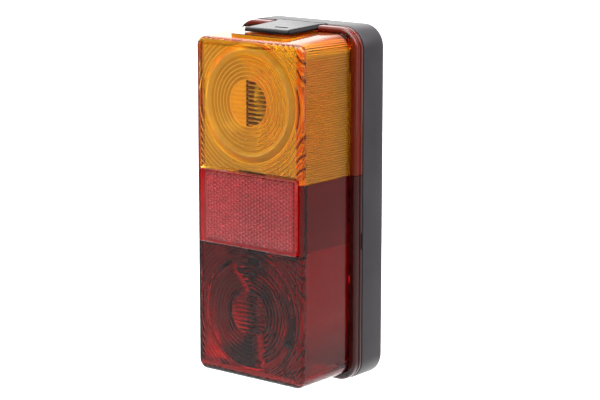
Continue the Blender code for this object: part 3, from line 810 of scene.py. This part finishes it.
def make_housing(look):
    """The tray, with its gasket groove, latch pocket, knock-outs, cable inlet and screw posts."""
    outline = [*BACK_EDGE]
    outline += [(inset, RIM_Y + behind) for inset, behind in RIM_EDGE]
    outline.append((WALL, FLOOR_Y))
    body = loft("housing_shell", [housing_section(inset, y) for inset, y in outline])
    before = RIM_Y - PAST
    above = HALF_H + PAST
    outer, inner = GROOVE_INSETS
    groove = []
    bottom = RIM_Y + GROOVE_DEPTH
    for inset, y in ((outer, before), (inner, before), (inner, bottom), (outer, bottom)):
        groove.append(housing_section(inset, y))
    left = LATCH_LOW.x - LATCH_GAP
    right = LATCH_HIGH.x + LATCH_GAP
    cutters = [loft("groove", groove, closed_ring=True)]
    cutters.append(box("pocket", (left, right), (before, LATCH_HIGH.y + LATCH_GAP),
                       (LATCH_HIGH.z - POCKET_DEPTH, above)))
    for ends in ((left - RELIEF, left + RELIEF_LAP), (right - RELIEF_LAP, right + RELIEF)):
        cutters.append(box("relief", ends, (before, RIM_Y + RELIEF_DEPTH), (HALF_H - RELIEF, above)))
    skin = FLOOR_Y + KNOCKOUT
    for z in (-MOUNT_Z, MOUNT_Z):
        profile = [(0, PAST), (MOUNT_R, PAST), (MOUNT_R, skin), (0, skin)]
        cutters.append(turned("hole", profile, (0, 0, z), "Y"))
    inlet = (GROMMET_LOW + GROMMET_HIGH) / 2
    profile = [(0, PAST), (INLET_FACE_R, PAST), (INLET_FACE_R, -INLET_FACE_DEPTH),
               (INLET_R, -INLET_FACE_DEPTH), (INLET_R, -INLET_DEPTH), (0, -INLET_DEPTH)]
    cutters.append(turned("inlet", profile, (inlet.x, 0, inlet.z), "Y"))
    for x in (-LIP_X, LIP_X):
        span = (x - LIP_POCKET_HALF, x + LIP_POCKET_HALF)
        cutters.append(box("lip_pocket", span, LIP_POCKET_Y, LIP_POCKET_Z))
    cut(body, *cutters, solver="MANIFOLD")
    terminal_x, terminal_z = TERMINAL_AT
    posts = [(x, z, *TERMINAL_POST) for x in (-terminal_x, terminal_x) for z in (-terminal_z, terminal_z)]
    posts += [(0, z, *FOOT_POST) for z in (-FOOT_Z, FOOT_Z)]
    for x, z, radius, top, bore in posts:
        root = FLOOR_Y + POST_ROOT
        profile = [(bore, root), (bore, top + POST_EDGE), (bore + POST_EDGE, top),
                   (radius - POST_EDGE, top), (radius, top + POST_EDGE), (radius, root)]
        join(body, turned("post", profile, (x, 0, z), "Y", POST_STEPS), solver="MANIFOLD")
    return place(body, "housing", look, "housing")


def make_latch(look):
    """The tongue from its eye on the pin to a tip that narrows and droops."""
    axis_y = PIN_LOW.y + PIN_R
    axis_z = PIN_LOW.z + PIN_R
    tip = LATCH_LOW.y
    top = LATCH_HIGH.z
    outline = [(tip, top - TIP_DEPTH)]
    for step in range(EYE_STEPS + 1):
        angle = math.radians(-90 + 180 * step / EYE_STEPS)
        outline.append((axis_y + EYE_R * math.cos(angle), axis_z + EYE_R * math.sin(angle)))
    outline += [(tip + back, top - down) for back, down in TIP_EDGE]
    body = prism("latch_tongue", outline, LATCH_LOW.x, LATCH_HIGH.x, "X")
    proud = top + 0.02
    slope_start, slope_end = SLOPE_ENDS
    for edge, way in ((LATCH_LOW.x, -1), (LATCH_HIGH.x, 1)):
        slope = [(edge - way * SLOPE_WIDTH, proud), (edge + way, proud), (edge + way, top - SLOPE_DEPTH)]
        cut(body, prism("slope", slope, tip + slope_start, axis_y - slope_end, "Y"))
    join(body, box("hook", HOOK_X, HOOK_Y, (LATCH_LOW.z + HOOK_UP, top - HOOK_ROOT)))
    soften(body, LATCH_EDGE, LATCH_EDGE_ANGLE)
    cut(body, box("slot", HOOK_X, SLOT_Y, (top - SLOT_DEPTH, top + PAST)))
    for vert in body.data.vertices:
        reach = min(max((axis_y - TAPER_START - vert.co.y / MM) / TAPER_LENGTH, 0.0), 1.0)
        vert.co.x -= (vert.co.x - LATCH_MIDDLE * MM) / LATCH_HALF * TIP_TAPER * reach
        vert.co.z = max(vert.co.z - TIP_DROP * MM * reach, LATCH_LOW.z * MM)
    return place(body, "latch", look, "latch")


# ---- lens ----

def lens_skin():
    """Outer skin from the front edge back over the flange."""
    half, low, high, radius = FRONT_EDGE
    skin = []
    for back, i in FRONT_ROUNDING:
        skin.append((FRONT_Y + back, half - i, low + i, high - i, radius - 0.8 * i))
    skin.append((JUNCTION_Y, *BACK_OF_WALLS))
    rings = [rounded(half, low, high, radius, y) for y, half, low, high, radius in skin]
    for y, i in FLANGE_OUTLINE:
        rings.append(rounded(FLANGE_W - i, i - FLANGE_H, FLANGE_H - i, FLANGE_CORNER - i, y))
    return rings


def cavity(name, heights, depth):
    """The hollow inside the lens: level flutes run along its side walls and round its far corners."""
    low, high = heights
    count = int((FLUTE_TOP - low) / FLUTE_PITCH)
    rings = []
    for y, half, radius, share in CAVITY_SECTIONS:
        points = []
        for side in (1, -1):
            walk = [(FLUTE_TOP - (count - i / 2) * FLUTE_PITCH, i % 2) for i in range(2 * count + 1)]
            profile = [(half + depth * share * odd, z) for z, odd in walk]
            for step in range(1, CORNER_STEPS + 1):
                angle = math.radians(90 * step / CORNER_STEPS)
                reach = radius + depth * share * (step % 2)
                x = half - radius + reach * math.cos(angle)
                profile.append((x, high - radius + reach * math.sin(angle)))
            if side < 0:
                profile = [(-x, z) for x, z in reversed(profile)]
            points += profile
        rings.append([(x * MM, y * MM, z * MM) for x, z in points])
    return loft(name, rings)


def ring_comb(name, centre, steps):
    """A turned comb that cuts stepped prism rings into the inner face of the front wall."""
    base = SKIN_Y + COMB_BACK
    comb = [(steps[0][0], base)]
    for inner, outer, inner_depth, outer_depth in steps:
        comb += [(inner, SKIN_Y - inner_depth), (outer, SKIN_Y - outer_depth)]
    comb.append((steps[-1][1] + 0.02, base))
    comb.reverse()
    return turned(name, comb, (centre[0], 0, centre[1]), "Y", RING_STEPS)


def prism_steps():
    """Inner radius, outer radius and the depth cut at each, for every ring of one optic."""
    steps = []
    radius = WINDOW_R
    while radius < FINE_R:
        slope = math.tan(math.radians(RING_SLOPE + radius - WINDOW_R))
        steps.append((radius, radius + RING_WIDTH, RING_START, min(RING_PITCH * slope, RING_DEPTH)))
        radius += RING_PITCH
    steps.append((radius + 0.1, BROAD_R, RING_START, RING_DEPTH))
    steps.append((BROAD_R + 0.01, BROAD_END_R, RING_DEPTH, 0.0))
    radius = WINDOW_R + COARSE_FIRST * RING_PITCH
    while radius < COARSE_R:
        steps.append((radius, radius + RING_WIDTH, RING_START, COARSE_DEPTH))
        radius += RING_PITCH
    return steps


def window_flutes(name, centre):
    """Level flutes across the clear window in the middle of an optic."""
    middle_x, middle_z = centre
    back = SKIN_Y + 1.0
    outline = [(back, middle_z - WINDOW_HALF)]
    count = int(2 * WINDOW_HALF / WINDOW_PITCH) * WAVE_POINTS
    for i in range(count + 1):
        z = middle_z + (i * WINDOW_PITCH / WAVE_POINTS - WINDOW_HALF)
        wave = 0.5 + 0.5 * math.cos(2 * math.pi * i / WAVE_POINTS)
        outline.append((SKIN_Y - WINDOW_DEPTH * wave, z))
    outline.append((back, outline[-1][1]))
    flutes = prism(name, outline, middle_x - WINDOW_HALF, middle_x + WINDOW_HALF, "X")
    edge = WINDOW_R - 0.1
    disc = [(0, WINDOW_REACH), (edge, WINDOW_REACH), (edge, -WINDOW_REACH), (0, -WINDOW_REACH)]
    keeper = turned("edge", disc, (middle_x, SKIN_Y, middle_z), "Y", WINDOW_STEPS)
    return combine(flutes, [keeper], "INTERSECT")


def cut_optic(body, centre, heights):
    """Cuts the prism rings and the fluted window of one optic, the rings only between the heights."""
    rings = ring_comb("rings", centre, prism_steps())
    cut(body, combine(rings, [box("keeper", RINGS_X, ALL_DEEP, heights)], "INTERSECT"))
    cut(body, window_flutes("window", centre))


def make_amber(look):
    """The upper lens, down to the reflex reflector."""
    body = loft("amber_lens", lens_skin())
    cut(body, cavity("hollow", AMBER_CAVITY, FLUTE_DEPTH))
    join(body, prism("ledge", LEDGE, LEDGE_ROOT, LEDGE_Z, "Z"))
    cut(body, box("below", ALL_ACROSS, ALL_DEEP, (-FAR_UP, SPLIT_AMBER)))
    cut(body, box("opening", OPENING_X, OPENING_Y, (0, REFLEX_HIGH.z + REFLEX_GAP)))
    latch_x = (LATCH_LOW.x - NOTCH_GAP, LATCH_HIGH.x + NOTCH_GAP)
    cut(body, box("notch", latch_x, NOTCH_Y, (LEDGE_Z, FAR_UP)))
    cut(body, box("recess", (HOOK_X[0] - NOTCH_GAP, HOOK_X[1] + NOTCH_GAP), RECESS_Y, RECESS_Z))
    cut_optic(body, (OPTIC_X, OPTIC_Z[0]), AMBER_RINGS_Z)
    return place(body, "lens", look, "lens_amber")


def make_red(look):
    """The lower lens, with the reflex reflector's seat and the snap tongues at its foot. Its hollow is
    made upside down, because its round corners are at the foot."""
    body = loft("red_lens", lens_skin())
    hollow = cavity("hollow", RED_CAVITY, 0.0)
    for vert in hollow.data.vertices:
        vert.co.z *= -1
    hollow.data.flip_normals()
    cut(body, hollow)
    cut(body, cavity("upper_hollow", REFLEX_CAVITY, 0.0))
    cut(body, box("above", ALL_ACROSS, ALL_DEEP, (SPLIT_RED, FAR_UP)))
    cut(body, box("opening", OPENING_X, OPENING_Y, (REFLEX_LOW.z - REFLEX_GAP, OPENING_TOP)))
    for half, y, z in SEAT:
        join(body, box("seat", (-half, half), y, z))
    for x in (-LIP_X, LIP_X):
        for half, y, z in SNAP_TONGUE:
            join(body, box("tongue", (x - half, x + half), y, z))
    cut(body, box("notch", *SEAT_NOTCH))
    cut(body, box("pry", *PRY_NOTCH))
    cut_optic(body, (OPTIC_X, OPTIC_Z[1]), RED_RINGS_Z)
    return place(body, "lens", look, "lens_red")


def corner_cubes(name, half_x, half_z, spacing, y):
    """The back of the reflex field: cube corners on a triangular grid, closed by a flat front."""
    bm = bmesh.new()
    depth = spacing / math.sqrt(2)
    row_gap = spacing * math.sqrt(3) / 2
    columns = int(2 * half_x / spacing)
    rows = int(2 * half_z / row_gap)
    grid = []
    for row in range(rows + 1):
        line = []
        for column in range(columns + 1):
            x = -half_x + (column + 0.5 * (row % 2)) * spacing
            z = -half_z + row * row_gap
            level = (column - row // 2 + 2 * row) % 3
            line.append(bm.verts.new((x * MM, (y + level * depth) * MM, z * MM)))
        grid.append(line)
    for row in range(rows):
        for column in range(columns):
            a, b = grid[row][column], grid[row][column + 1]
            c, d = grid[row + 1][column], grid[row + 1][column + 1]
            if row % 2:
                bm.faces.new((a, d, c))
                bm.faces.new((a, b, d))
            else:
                bm.faces.new((a, b, c))
                bm.faces.new((b, d, c))
    rim = [edge for edge in bm.edges if edge.is_boundary]
    grown = bmesh.ops.extrude_edge_only(bm, edges=rim)["geom"]
    for part in grown:
        if isinstance(part, bmesh.types.BMVert):
            part.co.y = (y - CUBE_ROOT) * MM
    front = [edge for edge in bm.edges if edge.is_boundary]
    bmesh.ops.holes_fill(bm, edges=front)
    return from_bmesh(bm, name)


def make_reflex(look):
    """The reflex reflector: a plate with a soft front edge, and its field of cube corners."""
    half_x = REFLEX_HIGH.x
    half_z = REFLEX_HIGH.z
    sections = [(PLATE_Y, 0.0)]
    sections += [(REFLEX_LOW.y + back, inset) for back, inset in PLATE_EDGE]
    rings = [rounded(half_x - i, i - half_z, half_z - i, PLATE_CORNER - i, y, 4) for y, i in sections]
    body = loft("reflex_plate", rings)
    join(body, corner_cubes("cubes", half_x - CUBE_EDGE[0], half_z - CUBE_EDGE[1], CUBE_PITCH, CUBE_Y))
    return place(body, "lens", look, "reflex_reflector", 12)


# ---- bulbs ----

def make_glass(name, axis, body_name, node, look):
    """A bulb's glass, open at the neck; the wall thins out towards the top of the globe."""
    height = GLASS_HIGH.z
    outer = []
    for step in range(GLOBE_STEPS + 1):
        angle = math.radians(90 * step / GLOBE_STEPS)
        outer.append((GLOBE_R * math.sin(angle), GLOBE_Z + (height - GLOBE_Z) * math.cos(angle)))
    for step in range(1, GLOBE_STEPS + 1):
        share = step / GLOBE_STEPS
        ease = share * share * (3 - 2 * share)
        outer.append((GLOBE_R - (GLOBE_R - NECK_R) * ease, GLOBE_Z - NECK_FALL * share))
    outer.append((NECK_R, GLASS_LOW.z))
    inner = []
    for r, h in reversed(outer):
        drop = GLASS_WALL * max(h - THINNING_FROM, 0) / THINNING_LENGTH
        inner.append((max(r - GLASS_WALL, 0.0), h - drop))
    inner[0] = (NECK_R - GLASS_WALL, GLASS_LOW.z)
    body = turned(name, [*outer, *inner], (0, BULB_Y, 0), axis, GLASS_STEPS)
    return place(body, body_name, look, node)


# ---- stage ----

AZIMUTH = 38.867
ELEVATION = 11.377
LENS = 124.695
CAMERA_AT = (0.578311, -0.734734, 0.184793)
ROLL = 0.015
STUDIO_LIGHT = 5.2

# Grey flags: the way each lies from the lamp, its outer and inner angle, and how bright it stays
FLAGS = (((-0.61, -0.77, -0.1), 40, 16, 0.06), ((0.61, 0.77, -0.1), 40, 15, 0.09),
         ((-0.62, 0.78, 0.1), 60, 25, 0.43), ((-0.95, -0.3, 0.0), 50, 15, 0.4),
         ((0.62, -0.77, 0.12), 46, 22, 0.10), ((0.98, 0.0, 0.10), 36, 14, 0.17),
         ((0.0, -1.0, 0.0), 36, 14, 0.10), ((-0.61, -0.25, 0.70), 34, 14, 0.45),
         ((0.25, 0.75, 0.55), 38, 18, 0.22))

# Floor, in metres: white near the lamp, darker to both sides of the view and towards the camera
FLOOR_Z = -0.35
FLOOR_HALF = 2.5
SIDEWAYS = (0.78, 0.62, 0.0)
TO_CAMERA = (0.62, -0.78, 0.0)
CAMERA_LEAD = 0.3
FLOOR_FADE = 0.24
FLOOR_WHITE = 0.72
FLOOR_NEAR = 0.01


def make_camera():
    """The photograph's view, with its slight roll."""
    data = bpy.data.cameras.new("camera")
    data.lens = LENS
    data.sensor_width = 36.0
    data.clip_start = 0.01
    data.clip_end = 50
    camera = bpy.data.objects.new("camera", data)
    azimuth = math.radians(AZIMUTH)
    elevation = math.radians(ELEVATION)
    level = math.cos(elevation)
    back = Vector((math.sin(azimuth) * level, -math.cos(azimuth) * level, math.sin(elevation)))
    camera.rotation_mode = "QUATERNION"
    turn = (-back).to_track_quat("-Z", "Y")
    camera.rotation_quaternion = turn @ Quaternion((0, 0, 1), math.radians(ROLL))
    camera.location = CAMERA_AT
    bpy.context.scene.collection.objects.link(camera)
    bpy.context.scene.camera = camera


def reach(nodes, links, source, direction):
    """How far a vector reaches in one direction."""
    dot = nodes.new("ShaderNodeVectorMath")
    dot.operation = "DOT_PRODUCT"
    dot.inputs[1].default_value = direction
    links.new(source, dot.inputs[0])
    return dot.outputs["Value"]


def make_world():
    """A white studio with soft grey flags, which keep glare off the lamp's faces and bevels."""
    world = bpy.data.worlds.new("studio")
    world.use_nodes = True
    nodes = world.node_tree.nodes
    links = world.node_tree.links
    source = nodes.new("ShaderNodeTexCoord")
    light = 1.0
    for direction, wide, narrow, grey in FLAGS:
        facing = reach(nodes, links, source.outputs["Generated"], Vector(direction).normalized())
        edges = (math.cos(math.radians(wide)), math.cos(math.radians(narrow)))
        fade = ramp(nodes, links, facing, edges, (1.0, grey))
        fade.interpolation_type = "SMOOTHSTEP"
        light = math_node(nodes, links, "MULTIPLY", light, fade.outputs["Result"])
    links.new(light, nodes["Background"].inputs["Color"])
    nodes["Background"].inputs["Strength"].default_value = STUDIO_LIGHT
    bpy.context.scene.world = world


def make_floor():
    """A wide sheet of paper below the lamp, which fills the lower background and throws light up."""
    bm = bmesh.new()
    bmesh.ops.create_grid(bm, x_segments=2, y_segments=2, size=FLOOR_HALF)
    bmesh.ops.translate(bm, vec=(0, 0, FLOOR_Z), verts=bm.verts)
    floor = from_bmesh(bm, "floor")
    mat, nodes, links, shader = new_material("floor_paper")
    source = nodes.new("ShaderNodeTexCoord")
    aside = math_node(nodes, links, "ABSOLUTE", reach(nodes, links, source.outputs["Object"], SIDEWAYS))
    ahead = reach(nodes, links, source.outputs["Object"], TO_CAMERA)
    ahead = math_node(nodes, links, "ADD", ahead, CAMERA_LEAD)
    away = math_node(nodes, links, "MAXIMUM", math_node(nodes, links, "MAXIMUM", aside, ahead), FLOOR_NEAR)
    tone = math_node(nodes, links, "DIVIDE", FLOOR_FADE, away)
    links.new(math_node(nodes, links, "MINIMUM", tone, FLOOR_WHITE), shader.inputs["Base Color"])
    shader.inputs["Roughness"].default_value = 0.9
    floor.data.materials.append(mat)


def make_stage():
    """The light and the floor, shown without a film curve."""
    bpy.context.scene.view_settings.view_transform = "Standard"
    make_world()
    make_floor()


# ---- CAD nodes that stay in view ----

CAD_LOOKS = {
    "white_sheet": (moulded, (0.80, 0.80, 0.78), (0.86, 0.86, 0.84), 0.35),
    "rubber": (moulded, (0.02, 0.02, 0.02), (0.04, 0.04, 0.04), 0.75),
    "inner_black": (moulded, (0.03, 0.03, 0.032), (0.05, 0.05, 0.05), 0.5),
    "sheet_brass": (metal, (0.60, 0.40, 0.15), (0.72, 0.54, 0.25), 0.3, (1, 1, 6)),
    "bright_steel": (metal, (0.50, 0.50, 0.52), (0.66, 0.66, 0.68), 0.3),
    "nickel": (metal, (0.60, 0.58, 0.54), (0.74, 0.72, 0.68), 0.25, (1, 1, 4)),
    "solder": (metal, (0.42, 0.42, 0.43), (0.6, 0.6, 0.6), 0.45),
    "tungsten": (metal, (0.2, 0.2, 0.22), (0.34, 0.34, 0.36), 0.4),
    "black_glass": (moulded, (0.015, 0.015, 0.02), (0.04, 0.04, 0.05), 0.15),
}

# The start of each node's name, and its look; a longer start comes before a shorter one
CAD_STARTS = {
    "gasket": "rubber",
    "reflector_sheet": "white_sheet",
    "grommet": "rubber",
    "carrier_screw": "bright_steel",
    "carrier": "inner_black",
    "strip": "sheet_brass",
    "plunger": "sheet_brass",
    "spring": "bright_steel",
    "terminal": "bright_steel",
    "socket": "nickel",
    "cap": "sheet_brass",
    "insulator": "black_glass",
    "contact": "solder",
    "filament": "tungsten",
    "latch_pin": "bright_steel",
}


def dress_cad_nodes():
    """Better materials for the CAD nodes that stay in view."""
    looks = {name: make(name, *settings) for name, (make, *settings) in CAD_LOOKS.items()}
    for name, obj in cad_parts.items():
        for start, look in CAD_STARTS.items():
            if name.startswith(start):
                for slot in obj.material_slots:
                    slot.material = looks[look]
                break


def build():
    """Every piece that replaces a CAD node, then the nodes that stay."""
    housing_look = moulded("housing_plastic", (0.018, 0.015, 0.018), (0.028, 0.024, 0.028), 0.42)
    latch_look = moulded("latch_plastic", (0.006, 0.005, 0.006), (0.012, 0.010, 0.011), 0.25)
    latch_look.node_tree.nodes["Principled BSDF"].inputs["Specular IOR Level"].default_value = 0.18
    amber_look = dyed_plastic("amber_plastic", (1.0, 0.825, 0.0), 800.0, lens_frost_and_painted_light, AMBER_FROST_AND_PAINT)
    red_look = dyed_plastic("red_plastic", (0.897, 0.0, 0.05), 2100.0, lens_frost_and_painted_light, RED_FROST_AND_PAINT)
    reflex_look = dyed_plastic("reflex_plastic", (0.90, 0.0, 0.06), 260.0, frost_cubes)
    glass_look = clear_glass("bulb_glass", (0.97, 0.98, 0.98), (0.94, 0.96, 0.96), 0.01, 1.5)
    make_housing(housing_look)
    make_latch(latch_look)
    make_amber(amber_look)
    make_red(red_look)
    make_reflex(reflex_look)
    make_glass("indicator_globe", "Z", "bulb_indicator", "glass_indicator", glass_look)
    make_glass("stop_globe", "-Z", "bulb_stop_tail", "glass_stop_tail", glass_look)
    dress_cad_nodes()


build()
make_camera()
make_stage()
